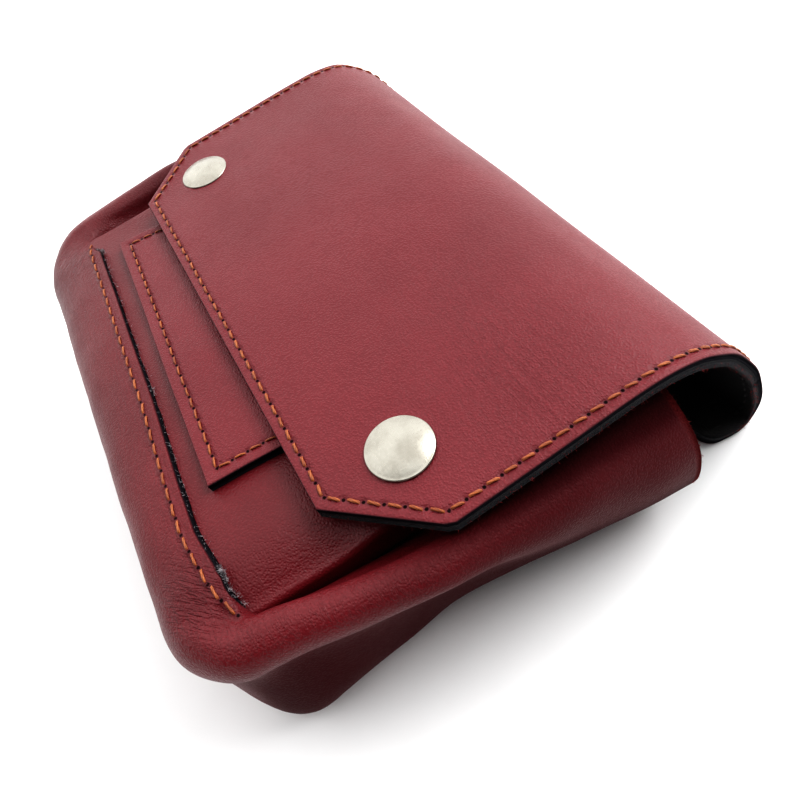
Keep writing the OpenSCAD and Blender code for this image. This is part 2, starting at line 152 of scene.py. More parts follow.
def folded_faces(rows, cols, flip):
    """Faces of a closed band whose rows run out along cols points and back along as many."""
    faces = [list(f) for f in grid_faces(rows, 2 * cols, wrap=True, flip=flip)]
    for row, turned in ((0, flip), (rows - 1, not flip)):
        base = row * 2 * cols
        for i in range(cols - 1):
            quad = [base + i, base + i + 1, base + 2 * cols - 2 - i, base + 2 * cols - 1 - i]
            faces.append(quad[::-1] if turned else quad)
    return faces


def closed_tube(rings, sides, start=0):
    """Faces of a tube of rings of points, with a flat cap at each end."""
    last = start + (rings - 1) * sides
    caps = [list(range(start, start + sides)), list(range(last, last + sides))[::-1]]
    return [list(f) for f in grid_faces(rings, sides, wrap=True, start=start, flip=True)] + caps


def rounding(inward, radius):
    """How far a face drops at a distance inward from its edge, where the edge is rounded."""
    gap = np.clip(radius - inward, 0, radius)
    return radius - np.sqrt(np.maximum(radius ** 2 - gap ** 2, 0))


def build(name, verts, faces, material, attributes=None):
    """A mesh object from points in millimetres, with its rest position kept for the textures."""
    verts = np.asarray(verts, float)
    mesh = bpy.data.meshes.new(name)
    mesh.from_pydata((verts * MM).tolist(), [], [list(map(int, f)) for f in faces])
    mesh.materials.append(material)
    mesh.polygons.foreach_set("use_smooth", np.ones(len(mesh.polygons), bool))
    for key, values in {"rest": verts, **(attributes or {})}.items():
        values = np.asarray(values, np.float32)
        kind, field = ("FLOAT", "value") if values.ndim == 1 else ("FLOAT_VECTOR", "vector")
        mesh.attributes.new(key, kind, "POINT").data.foreach_set(field, values.ravel())
    mesh.update()
    obj = bpy.data.objects.new(name, mesh)
    bpy.context.scene.collection.objects.link(obj)
    return obj


def attach(piece, bodies, slot, *nodes):
    """Parents a piece to one body, or, given two bodies, only bakes its transform; hides the given CAD nodes.
    slot is not used.
    """
    if isinstance(bodies, str):
        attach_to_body(piece, bodies)
    else:
        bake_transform(piece)
    if nodes:
        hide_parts(*nodes)


# ---- Materials ----


class Nodes:
    """Short names for making shader nodes in one node tree."""

    def __init__(self, tree):
        self.tree = tree

    def put(self, socket, value):
        if isinstance(value, bpy.types.NodeSocket):
            self.tree.links.new(value, socket)
        else:
            socket.default_value = value

    def make(self, kind, inputs=(), **settings):
        """A new node. inputs holds a value or a socket for each input, by order or by name."""
        node = self.tree.nodes.new(kind)
        for key, value in settings.items():
            setattr(node, key, value)
        for key, value in inputs.items() if isinstance(inputs, dict) else enumerate(inputs):
            self.put(node.inputs[key], value)
        return node

    def attribute(self, name, output="Fac"):
        return self.make("ShaderNodeAttribute", attribute_name=name).outputs[output]

    def place(self, output="Object"):
        return self.make("ShaderNodeTexCoord").outputs[output]

    def math(self, operation, a, b=0.0):
        return self.make("ShaderNodeMath", (a, b), operation=operation).outputs[0]

    def times(self, a, b):
        return self.math("MULTIPLY", a, b)

    def plus(self, a, b):
        return self.math("ADD", a, b)

    def less(self, a, b):
        return self.math("SUBTRACT", a, b)

    def size(self, a):
        return self.math("ABSOLUTE", a)

    def larger(self, a, b):
        return self.math("MAXIMUM", a, b)

    def scaled(self, vector, by):
        return self.make("ShaderNodeVectorMath", (vector, by), operation="MULTIPLY").outputs[0]

    def noise(self, vector, scale, detail=3.0, roughness=0.5, distortion=0.0):
        return self.make("ShaderNodeTexNoise", {
            "Vector": vector, "Scale": scale, "Detail": detail, "Roughness": roughness,
            "Distortion": distortion}).outputs["Fac"]

    def cells(self, vector, scale):
        inputs = {"Vector": vector, "Scale": scale, "Smoothness": 0.6}
        return self.make("ShaderNodeTexVoronoi", inputs, feature="SMOOTH_F1").outputs["Distance"]

    def ramp(self, value, low, high, to_low=0.0, to_high=1.0, kind="SMOOTHSTEP"):
        inputs = (value, low, high, to_low, to_high)
        return self.make("ShaderNodeMapRange", inputs, interpolation_type=kind).outputs[0]

    def mix(self, share, a, b):
        return self.make("ShaderNodeMix", {0: share, 6: a, 7: b}, data_type="RGBA").outputs[2]

    def split(self, vector):
        return self.make("ShaderNodeSeparateXYZ", (vector,)).outputs

    def bump(self, height, distance, normal=None):
        node = self.make("ShaderNodeBump", {"Strength": 1.0, "Distance": distance * MM, "Height": height})
        if normal is not None:
            self.put(node.inputs["Normal"], normal)
        return node.outputs[0]


class Surface(Nodes):
    """The nodes of one new material."""

    def __init__(self, name):
        self.material = bpy.data.materials.new(name)
        self.material.use_nodes = True
        super().__init__(self.material.node_tree)

    def set(self, **values):
        """Gives inputs of the surface shader, with _ for each space in a name."""
        for key, value in values.items():
            self.put(self.tree.nodes["Principled BSDF"].inputs[key.replace("_", " ")], value)


def rgb(r, g, b):
    """A linear colour with alpha, from 0-255 sRGB."""
    channels = [((c / 255 + 0.055) / 1.055) ** 2.4 if c > 10 else c / 255 / 12.92 for c in (r, g, b)]
    return (*channels, 1.0)


def leather_material(name, light, deep, grain, grain_depth, roughness):
    """Dyed, fine-grained leather, with grain and its depth in millimetres.

    It reads these point attributes, which are 0 where a piece has none: seam (stitch count, distance
    from the stitch line, 1 beside it), edge (raw cut edge), flesh (napped inner side), crease (wrinkles
    of wear, bumped and darkened with painted shade), pucker (wrinkles at a corner, likewise) and
    painted_shade (painted shade and shadow: dark and dull under the rolled rim and under the flap)."""
    n = Surface(name)
    rest = n.attribute("rest", "Vector")
    edge = n.attribute("edge")
    crease_and_shade = n.attribute("crease")
    flesh = n.attribute("flesh")
    seam = n.split(n.attribute("seam", "Vector"))

    clouds = n.noise(rest, 0.028, 3, 0.55)
    specks = n.noise(rest, 0.35, 4, 0.6)
    fine = n.noise(rest, 2.6, 3, 0.6)
    pores = n.cells(rest, 1 / grain)
    colour = n.mix(n.ramp(clouds, 0.3, 0.7), light, deep)
    colour = n.mix(n.ramp(specks, 0.35, 0.75, 0.0, 0.25), colour, deep)
    colour = n.mix(n.ramp(pores, 0.32, 0.62, 0.0, 0.16), colour, rgb(58, 10, 16))

    # Wrinkles run along the width, where the flap bends in use
    long_lines = n.noise(n.scaled(rest, (0.10, 0.9, 0.9)), 1.0, 4, 0.62, 0.35)
    ridge = n.size(n.less(long_lines, 0.5))
    wrinkles = n.times(n.ramp(ridge, 0.0, 0.05, 1.0, 0.0), crease_and_shade)

    # Puckers run across the two bottom corners
    x, y, _ = n.split(rest)
    across = n.size(x)
    diagonal = (n.times(n.plus(across, y), 0.12), n.times(n.less(across, y), 0.75))
    turned = n.make("ShaderNodeCombineXYZ", diagonal).outputs[0]
    folds = n.size(n.less(n.noise(turned, 1.0, 2, 0.5, 0.3), 0.5))
    puckers = n.times(n.ramp(folds, 0.0, 0.12, 1.0, 0.0), n.attribute("pucker"))
    wrinkles = n.plus(wrinkles, puckers)
    # Painted shade: the wrinkles and puckers are darkened in colour as well as bumped
    colour = n.mix(n.times(wrinkles, 0.22), colour, rgb(60, 12, 18))
    # Painted shade and shadow: darker under the rolled rim and under the flap
    painted_shade = n.attribute("painted_shade")
    colour = n.mix(n.times(painted_shade, 0.85), colour, rgb(44, 8, 12))

    # Stitch line: a pressed channel with a hole at each whole count
    off_line = n.size(seam[1])
    channel = n.times(n.ramp(off_line, 0.1, 1.15, 1.0, 0.0), seam[2])
    along = n.times(n.size(n.less(n.math("FRACT", n.plus(seam[0], 0.5)), 0.5)), 4.0)
    reach = n.math("SQRT", n.plus(n.math("POWER", along, 2.0), n.math("POWER", off_line, 2.0)))
    pull = n.times(n.ramp(reach, 0.2, 1.5, 1.0, 0.0), seam[2])
    hole = n.times(n.ramp(reach, 0.24, 0.52, 1.0, 0.0), seam[2])
    colour = n.mix(n.times(channel, 0.22), colour, rgb(70, 12, 20))
    # Painted shade: each hole is a dark spot standing in for the shade inside it
    colour = n.mix(hole, colour, rgb(22, 6, 8))

    # Raw edge: black edge paint with a little lint. Flesh side: nap
    lint = n.ramp(n.noise(rest, 5.5, 4, 0.75), 0.52, 0.8)
    edge_colour = n.mix(n.times(lint, 0.5), rgb(40, 39, 45), rgb(104, 96, 102))
    nap = n.noise(rest, 3.2, 5, 0.75)
    flesh_colour = n.mix(n.ramp(nap, 0.35, 0.7), rgb(92, 26, 30), rgb(150, 58, 58))
    colour = n.mix(flesh, colour, flesh_colour)
    colour = n.mix(edge, colour, edge_colour)
    n.set(Base_Color=colour)

    rough = n.ramp(n.noise(rest, 0.12, 3), 0.3, 0.7, roughness - 0.02, roughness + 0.03)
    rough = n.plus(rough, n.ramp(pores, 0.3, 0.6, 0.0, 0.07))
    napped = n.larger(edge, flesh)
    rough = n.plus(n.times(rough, n.less(1.0, napped)), n.times(napped, 0.92))
    # The painted shade is also made rougher and less shiny
    rough = n.plus(rough, n.times(painted_shade, 0.3))
    n.set(Roughness=rough)
    matt = n.larger(n.larger(napped, hole), n.times(painted_shade, 0.9))
    n.set(Specular_IOR_Level=n.ramp(matt, 0, 1, 0.34, 0.05))

    tops = n.ramp(pores, 0.12, 0.68, 1.0, 0.0)
    skin = n.plus(n.times(tops, 0.75), n.times(fine, 0.45))
    normal = n.bump(skin, grain_depth * 2.2)
    normal = n.bump(n.noise(rest, 0.3, 3, 0.5), 0.05, normal)
    normal = n.bump(n.less(1.0, wrinkles), 0.16, normal)
    dent = n.plus(n.times(channel, 0.3), n.times(pull, 0.6))
    normal = n.bump(n.less(1.0, dent), 0.34, normal)
    n.set(Normal=n.bump(n.times(nap, napped), 0.9, normal))
    return n.material


def lining_material():
    """Black suede with a few red flecks off the leather. It reads: cut (1 on a cut edge)."""
    n = Surface("black_suede")
    rest = n.attribute("rest", "Vector")
    nap = n.noise(rest, 2.8, 5, 0.75)
    tufts = n.noise(rest, 0.22, 3, 0.6)
    colour = n.mix(n.ramp(nap, 0.35, 0.72), rgb(12, 10, 12), rgb(40, 34, 38))
    colour = n.mix(n.ramp(tufts, 0.4, 0.75, 0.0, 0.5), colour, rgb(22, 18, 20))
    flecks = n.ramp(n.noise(rest, 4.2, 2, 0.5), 0.70, 0.78)
    colour = n.mix(n.times(flecks, 0.55), colour, rgb(96, 26, 30))
    cut_colour = n.mix(n.ramp(nap, 0.4, 0.7), rgb(26, 26, 31), rgb(56, 55, 62))
    colour = n.mix(n.attribute("cut"), colour, cut_colour)
    n.set(Base_Color=colour)
    n.set(Roughness=0.95, Specular_IOR_Level=0.15, Sheen_Weight=0.12, Sheen_Roughness=0.4)
    n.set(Normal=n.bump(nap, 0.9))
    return n.material


def thread_material(name, light, deep, shade, fibre):
    """Plied thread. It reads: twist (1 on top of a ply, 0 between two)."""
    n = Surface(name)
    rest = n.attribute("rest", "Vector")
    twist = n.attribute("twist")
    clouds = n.noise(rest, 0.25, 3, 0.6)
    fibres = n.noise(rest, 9.0, 3, 0.7)
    colour = n.mix(n.ramp(clouds, 0.3, 0.7), light, deep)
    # Painted shade: the grooves between the plies are darkened
    colour = n.mix(n.ramp(twist, 0.0, 0.75, 0.75, 0.0), colour, shade)
    colour = n.mix(n.ramp(fibres, 0.55, 0.8, 0.0, 0.35), colour, fibre)
    n.set(Base_Color=colour)
    n.set(Roughness=n.ramp(fibres, 0.3, 0.7, 0.42, 0.6))
    n.set(Normal=n.bump(fibres, 0.06))
    return n.material


def metal_material(name, bright, dull, roughness):
    """Plated metal with a mottled, lightly scratched face. It reads: rim (1 low on a cap's rim, where it is
    made darker, warmer and rougher).
    """
    n = Surface(name)
    place = n.place()
    film = n.noise(place, 170.0, 4, 0.6)
    mottle = n.noise(place, 1600.0, 3, 0.6)
    lines = n.noise(n.scaled(place, (300.0, 5200.0, 900.0)), 1.0, 3, 0.6)
    rim = n.attribute("rim")
    colour = n.mix(n.ramp(film, 0.3, 0.75), bright, dull)
    colour = n.mix(n.times(rim, 0.75), colour, rgb(74, 62, 50))
    n.set(Base_Color=colour, Metallic=1.0)
    rough = n.ramp(mottle, 0.3, 0.7, roughness - 0.05, roughness + 0.08)
    n.set(Roughness=n.plus(rough, n.times(rim, 0.12)))
    height = n.plus(n.times(mottle, 0.6), n.times(lines, 0.5))
    n.set(Normal=n.bump(height, 0.025))
    return n.material


def fibre_material(name, light, deep):
    """Dull, loose fibres."""
    n = Surface(name)
    rest = n.attribute("rest", "Vector")
    n.set(Base_Color=n.mix(n.ramp(n.noise(rest, 0.9, 2), 0.35, 0.65), light, deep))
    n.set(Roughness=n.ramp(n.noise(rest, 3.0, 2), 0.3, 0.7, 0.75, 0.95))
    return n.material


def paper_material(name):
    """Matt white paper for the floor."""
    n = Surface(name)
    grain = n.noise(n.place(), 60.0)
    n.set(Base_Color=n.mix(grain, (0.86, 0.86, 0.86, 1), (0.9, 0.9, 0.9, 1)), Roughness=0.6)
    return n.material


flap_skin = leather_material("burgundy_flap", rgb(115, 34, 42), rgb(108, 30, 38), 0.5, 0.045, 0.4)
body_skin = leather_material("burgundy_body", rgb(109, 26, 34), rgb(98, 21, 29), 0.52, 0.04, 0.34)
suede = lining_material()
thread = thread_material(
    "waxed_thread", rgb(182, 106, 56), rgb(146, 76, 38), rgb(78, 32, 16), rgb(208, 146, 98))
black_thread = thread_material(
    "black_thread", rgb(30, 26, 28), rgb(22, 18, 20), rgb(10, 8, 9), rgb(58, 50, 52))
cap_metal = metal_material("aged_nickel", rgb(168, 165, 156), rgb(146, 142, 133), 0.3)
stud_metal = metal_material("nickel", rgb(200, 198, 190), rgb(168, 164, 156), 0.26)
wire_metal = metal_material("spring_wire", rgb(210, 210, 208), rgb(176, 176, 176), 0.2)
grey_lint = fibre_material("grey_lint", rgb(180, 175, 178), rgb(84, 76, 80))
red_lint = fibre_material("red_lint", rgb(168, 66, 66), rgb(84, 20, 26))

# ---- The flap, spine and tail: one bent sheet of leather with its lining ----

FLAP_HALF = 82.5
FLAP_EDGE_Y = -30.15
CORNER = (18.7, 20.0)  # how far a cut corner goes across and along the sheet
SLANT = math.hypot(*CORNER) / CORNER[1]
CORNER_BLEND = 0.9
SKIN = 1.4  # thickness of the outer leather, and of the lining
STITCH_IN = 2.5
FLAP_PITCH = 4.0

# Outer face of the sheet as (y, z) points, at the right side and at the left side
near_line = np.array([
    (FLAP_EDGE_Y, 52.4), (-15, 52.45), (0, 52.5), (12, 52.7), (23.3, 53.1), (32, 53.3), (40, 52.7),
    (48, 50.3), (53.8, 46.6), (59.5, 41.5), (65, 33.4), (68.8, 26.6), (72.1, 18), (74.2, 11), (74.7, 5.4),
    (72.9, 1.3), (68.6, 0.05), (61, 0.3), (50, 1.4), (34, 1.4), (18, 1.4)])
far_line = np.array([
    (FLAP_EDGE_Y, 52.7), (-15, 52.8), (0, 52.9), (12, 53), (23.3, 53.1), (32, 53.1), (40, 52.9),
    (48.4, 51.4), (54.8, 47.6), (60.5, 42), (65.4, 33.8), (68.6, 26.8), (71.5, 18), (73.2, 11), (73.4, 5.8),
    (71.4, 2), (67.4, 0.3), (61, 0.5), (50, 1.4), (34, 1.4), (18, 1.4)])
mean_line = (near_line + far_line) / 2
fine_t = np.linspace(0, len(mean_line) - 1, 4001)
fine_run = run_lengths(curve_at(mean_line, fine_t))
SHEET_LENGTH = fine_run[-1]

# The sheet narrows to the back panel's width where it is sewn on, past two rounded shoulders
BACK_HALF = 76.0
SHOULDER_Y = 58.5
SHOULDER_R = 4.0
fine_y = curve_at(mean_line, fine_t)[:, 0]
turning = np.argmax(fine_y)
SHOULDER_RUN = np.interp(-SHOULDER_Y, -fine_y[turning:], fine_run[turning:])


def sheet_curve(s):
    """(points, outward directions) of the outer face at run s, at the right side and at the left."""
    t = np.interp(s, fine_run, fine_t)
    sides = []
    for line in (near_line, far_line):
        ahead = curve_at(line, np.minimum(t + 0.02, len(line) - 1))
        behind = curve_at(line, np.maximum(t - 0.02, 0))
        sides.append((curve_at(line, t), outward(ahead - behind)))
    return sides


snap_spots = {"right": (62.8, -9.75), "left": (-62.8, -9.75)}


def sheet_at(u, s, depth):
    """Points of the bent sheet, u across and s along it, at a depth under its outer face, with the
    outward direction at each."""
    u, s, depth = (np.asarray(a, float).ravel() for a in np.broadcast_arrays(u, s, depth))
    (near, near_out), (far, far_out) = sheet_curve(s)
    share = np.clip((FLAP_HALF - u) / (2 * FLAP_HALF), 0, 1)[:, None]
    normal = unit(near_out * (1 - share) + far_out * share)
    flat = np.stack([u, s, np.zeros(len(u))], axis=1)
    soft = wobble(flat, 70, 3) * 0.22 + wobble(flat, 28, 4) * 0.07
    soft = soft * ease(s / 25) * ease((130 - s) / 20)
    for x, y in snap_spots.values():
        away = np.hypot(u - x, s + FLAP_EDGE_Y - y)
        soft -= 0.3 * (1 - ease((away - 7) / 7)) * ease((away - 6.5) / 1.0)
    point = near * (1 - share) + far * share + normal * (soft - depth)[:, None]
    return np.insert(point, 0, u, axis=1), np.insert(normal, 0, 0.0, axis=1)


def half_width(s, inset):
    """Half the sheet's width at run s, for a line set in by inset from the cut edge."""
    side = FLAP_HALF - inset
    cut = FLAP_HALF - CORNER[0] * (1 - s / CORNER[1]) - inset * SLANT
    h = np.clip(0.5 + 0.5 * (cut - side) / CORNER_BLEND, 0, 1)
    wide = cut * (1 - h) + side * h - CORNER_BLEND * h * (1 - h)
    wide = wide - rounding(SHOULDER_RUN - s, SHOULDER_R)
    # The edge curls out a little before the shoulder
    wide = wide + 0.9 * math.exp(-((s - SHOULDER_RUN + 9) / 5) ** 2)
    narrow = BACK_HALF - inset
    step = ease((s - SHOULDER_RUN) / 0.8)
    return wide * (1 - step) + narrow * step


SEAM_RUN = SHOULDER_RUN + 10.0


def stitch_path():
    """Corner points (u, s) of the flap's stitch line and the stitch count at each."""
    e = STITCH_IN
    low = FLAP_HALF - CORNER[0] * (1 - e / CORNER[1]) - e * SLANT
    turn_s = CORNER[1] * (1 + e * (SLANT - 1) / CORNER[0])
    last = SHOULDER_RUN - e
    wide, narrow = FLAP_HALF - e, BACK_HALF - e
    right = [(low, e), (wide, turn_s), (wide, last), (narrow, last), (narrow, SEAM_RUN)]
    points = np.array([(-u, s) for u, s in reversed(right)] + right)
    return points, corner_counted(points, FLAP_PITCH)


seam_points, seam_counts = stitch_path()
# The flap's pieces end, and the spine's begin, halfway down the bend behind the mouth
MID_RUN = np.interp(11.5, fine_t, fine_run)


def sheet_layer(name, depth_top, depth_low, s_from, s_to, material, edge_top, edge_low, swell=0.0):
    """One layer of the bent sheet as a closed solid with softly rounded cut edges.

    swell is how far the nap stands proud of the lower face along a cut edge."""
    inset = np.array([0.0, 0.1, 0.25, 0.5, 1.0, 1.6, 2.1, 2.5, 2.9, 3.5, 4.5, 6.5])
    starts_cut, ends_cut = s_from == 0, s_to >= SHEET_LENGTH - 0.01
    start_rows = np.r_[inset, 9, 12] if starts_cut else np.array([s_from])
    first = 15.0 if starts_cut else s_from + 2.5
    end_rows = s_to - inset[:5][::-1] if ends_cut else np.array([s_to])
    last = end_rows[0] - 2.0
    inner_rows = np.linspace(first, last, max(2, int(round((last - first) / 2.0)) + 1))
    s = np.r_[start_rows, inner_rows, end_rows]
    if s_to > SHOULDER_RUN:
        before = [-5, -4, -3, -2.2, -1.5, -0.9, -0.45, -0.15]
        turn_rows = SHOULDER_RUN + np.array(before + [0, 0.2, 0.4, 0.6, 0.8, 1.3, 2.2])
        clear = (s < turn_rows[0] - 0.6) | (s > turn_rows[-1] + 0.6)
        s = np.sort(np.r_[s[clear], turn_rows])
    core = np.linspace(-1, 1, 61)[1:-1]
    wide = [half_width(value, inset) for value in s]
    u = np.array([np.r_[-w, core * w[-1], w[::-1]] for w in wide])
    rows, cols = u.shape
    u, along = u.ravel(), np.repeat(s, cols)
    inward = np.tile(np.r_[inset, np.full(len(core), 9.0), inset[::-1]], rows)
    if starts_cut:
        inward = np.minimum(inward, along)
    if ends_cut:
        inward = np.minimum(inward, SHEET_LENGTH - along)
    rolled = rounding(inward, 0.45)
    top, _ = sheet_at(u, along, depth_top + rolled * edge_top)
    low_u = u + np.sign(u) * 0.5 * swell * np.exp(-(inward / 0.9) ** 2)
    low, _ = sheet_at(low_u, along, depth_low + swell * np.exp(-(inward / 2.2) ** 2) - rolled * edge_low)
    count, distance, side = nearest_on_path(np.stack([u, along], axis=1), seam_points, seam_counts)
    valid = (distance < 5) & (along < SEAM_RUN + 2)
    seam = np.stack([count, distance * side, valid], axis=1)
    edge = np.clip(1 - inward / 0.22, 0, 1)
    # Wrinkles, bumped and darkened with painted shade: more of them on the right half, past the snaps, and
    # towards the spine
    by_snap = np.exp(-((along - 48) / 20) ** 2) * ease((u + 10) / 70)
    crease_and_shade = 0.03 + 0.26 * by_snap + 0.10 * ease((along - 80) / 20)
    return build(name, np.r_[top, low], slab_faces(rows, cols), material, {
        "seam": np.r_[seam, seam], "edge": np.r_[edge, np.ones(len(u))],
        "crease": np.r_[crease_and_shade, np.zeros(len(u))],
        "cut": np.tile(np.clip(1 - inward / 0.3, 0, 1), 2)})


# ---- Stitches ----


def stitches(name, spans, radius=0.33, slant=0.2, material=thread):
    """Thread from hole to hole. Each span is (start, end, up): a plied strand that rises out of one
    hole, lies on the leather and dives into the next, set a little across the line."""
    rings, sides, plies = 11, 9, 3
    hole_gap = 0.11  # share of a span that stays free at each hole
    verts, faces, twist = [], [], []
    angles = np.arange(sides) * 2 * math.pi / sides
    t = np.linspace(0, 1, rings)
    sink = (2 * t - 1) ** 6
    for k, (start, end, up) in enumerate(spans):
        length = np.linalg.norm(end - start)
        d, up = (end - start) / length, unit(up)
        across = unit(np.cross(up, d))
        local = np.random.default_rng(1000 + k)
        lean = slant * local.uniform(0.6, 1.3)
        lift = local.uniform(0.9, 1.08)
        x = (hole_gap + (1 - 2 * hole_gap) * t) * length
        height = radius * (0.62 * lift) * (1 - sink) - radius * 1.5 * sink + 0.12 * np.sin(math.pi * t) * lift
        sideways = (0.5 - t) * 2 * lean
        middle = start + x[:, None] * d + height[:, None] * up + sideways[:, None] * across
        ply = np.cos(plies * angles - x[:, None] * 3.6 + local.uniform(0, 6.28))
        r = radius * (1 + 0.13 * ply) * (1 - 0.25 * sink[:, None])
        section = (np.cos(angles) * r)[:, :, None] * across + (np.sin(angles) * r * 0.82)[:, :, None] * up
        verts.append((middle[:, None] + section).reshape(-1, 3))
        twist.append(0.5 + 0.5 * ply)
        faces += closed_tube(rings, sides, k * rings * sides)
    return build(name, np.concatenate(verts), faces, material, {"twist": np.ravel(twist)})


def flap_spans(s_from, s_to, depth=0.08, facing=1):
    """Stitches of the flap's seam whose middle lies in the given stretch of the sheet."""
    u, s = points_at(np.arange(seam_counts[-1] + 1), seam_counts, seam_points).T
    holes, normals = sheet_at(u, s, depth)
    middle = (s[:-1] + s[1:]) / 2
    inside = np.where((middle >= s_from) & (middle < s_to))[0]
    return [(holes[k], holes[k + 1], facing * (normals[k] + normals[k + 1])) for k in inside]


# Where the sheet turns from one body to the next: the two bodies, and the turn's start and end in metres
UPPER_FOLD = ("flap", "spine", (0, 0.040, 0.053), (0, 0.0672, 0.028))
LOWER_FOLD = ("spine", "pouch", (0, 0.0728, 0.0145), (0, 0.0615, 0.001))
LINING_SWELL = 0.7
INSIDE = 2 * SKIN - 0.08  # depth of the stitches on the lining side, where the thread is black

for part, s_from, s_to, fold, leathers, linings in (
        ("flap", 0, MID_RUN, UPPER_FOLD, ("flap_leather",), ("flap_lining",)),
        ("spine", MID_RUN, SHEET_LENGTH, LOWER_FOLD, ("spine_leather", "flap_tail"),
         ("spine_lining", "tail_lining"))):
    leather = sheet_layer(part + "_outer_leather", 0, SKIN, s_from, s_to, flap_skin, 1, 0)
    attach(leather, fold, "flap_leather", *leathers)
    lining = sheet_layer(part + "_suede_lining", SKIN + 0.02, 2 * SKIN, s_from, s_to, suede, 0, 1,
                         LINING_SWELL)
    attach(lining, fold, "lining_suede", *linings)
    attach(stitches(part + "_stitching", flap_spans(s_from, s_to)), fold, "thread", part + "_thread")
    inside_spans = flap_spans(s_from, s_to, INSIDE, -1)
    attach(stitches(part + "_bobbin_stitching", inside_spans, 0.28, 0.1, black_thread), fold, "thread")

# ---- Body: the strip of leather round both sides and the bottom end ----

CX, CY = 60.0, -50.0  # centre of the turn at the right bottom corner
SOFT = 1.3  # thickness of the strip and of the front panel
BACK = 1.4  # thickness of the back panel
LAP_FLARE = 0.65  # how far the lapped edge is spread open
LAP_STITCH = 2.9  # from the lapped edge in to its stitches
MOUTH_Y = 42.85
FRONT_HALF = 71.5
LIP_U = FRONT_HALF + 0.4 - CX

# Outer face of the strip as (u, z), from its top edge over the rim, down the wall to its foot: five
# sections along a side, from the mouth, and three more round a corner
sections = np.array([
    [(LIP_U, 38.8), (12.1, 40.9), (13.3, 42.6), (16.8, 42.5), (21.8, 40.3), (27.5, 35.4),
     (31.1, 29), (32, 20), (29.6, 12), (24.4, 6.6), (16, 4.2), (7, 4.2)],
    [(LIP_U, 36.6), (12.9, 39.6), (15.2, 42), (19.3, 43.9), (23.8, 43.7), (28.2, 41),
     (30.6, 35.5), (30.3, 26), (27.2, 15.4), (23.5, 8.2), (16, 4.2), (7, 4.2)],
    [(LIP_U, 34), (14.5, 38), (19, 42.8), (20.6, 46.5), (24.2, 48), (27.8, 46.6),
     (29.1, 43), (25.8, 35.6), (21.4, 14.4), (18.6, 6), (13, 1.4), (7, 1.4)],
    [(LIP_U, 37.5), (13.4, 40), (16, 43.8), (17.6, 47.4), (21.2, 48.9), (24.8, 47.4),
     (26.1, 43.6), (23.6, 36.4), (22.7, 16.4), (20.5, 6.5), (14, 1.4), (7, 1.4)],
    [(LIP_U, 41.8), (12.3, 44.6), (13, 47.2), (14.7, 48.9), (17.7, 49.5), (21.2, 48),
     (22.7, 44.2), (20.9, 37.4), (24, 19.4), (22.5, 8), (15, 1.4), (7, 1.4)],
    [(7.3, 48.1), (9.6, 48), (11.8, 47.6), (14, 48.5), (17.2, 49.4), (20.8, 47.8),
     (22.4, 43.6), (20.7, 34.5), (24.2, 16.5), (22.8, 6.4), (14.5, 1.4), (7, 1.4)],
    [(3.5, 49.3), (6.5, 49.2), (10, 48.7), (13.5, 48.8), (17, 48.8), (20.3, 46.4),
     (21.8, 41.5), (20.5, 31), (22.9, 13.5), (21.2, 5), (13.5, 1.4), (7, 1.4)],
    [(2.3, 49.4), (6, 49.5), (10, 49.4), (14.7, 48.4), (18.5, 45.9), (21.1, 41.9),
     (22, 37.4), (22, 26), (22, 12), (19.4, 4.4), (13, 1.4), (7, 1.4)]])
side_stations = np.array([MOUTH_Y, 15, -15, -33, CY])
corner_stations = np.array([0, 20, 45, 90])  # degrees, from the fifth section on

# The top edge lapped over the front panel, as (x, y): it is sewn a little askew
lap_line = np.array([(-75, -49.5), (-53.5, -50.6), (-35.5, -51), (-19.5, -51.6), (9.5, -52.4),
                     (36.5, -54.1), (50.5, -54.6), (60, -53.3), (75, -52.4)])


def lap_y(x):
    """Where the lapped edge lies."""
    return np.interp(x, *lap_line.T)


def foot_z(y):
    """Height of the strip's foot, over the back panel and the sheet's tail."""
    return BACK + 0.02 + 2.8 * ease((y + 14) / 28)


def strip_rings():
    """Path of the strip from the right mouth round to the left: station, centre, outward direction."""
    ys = np.linspace(MOUTH_Y, CY, 54)
    turn = np.linspace(0, 90, 34)[1:]
    xs = np.linspace(CX, -CX, 50)[1:-1]
    side = [(np.interp(-y, -side_stations, np.arange(5)), CX, y, 1, 0) for y in ys]
    corner = [(np.interp(a, corner_stations, np.arange(4)) + 4, CX, CY, math.cos(math.radians(a)),
               -math.sin(math.radians(a))) for a in turn]
    right = np.array(side + corner)
    bottom = np.array([(7, x, CY, 0, -1) for x in xs])
    return np.r_[right, bottom, right[::-1] * [1, -1, 1, -1, 1]].T


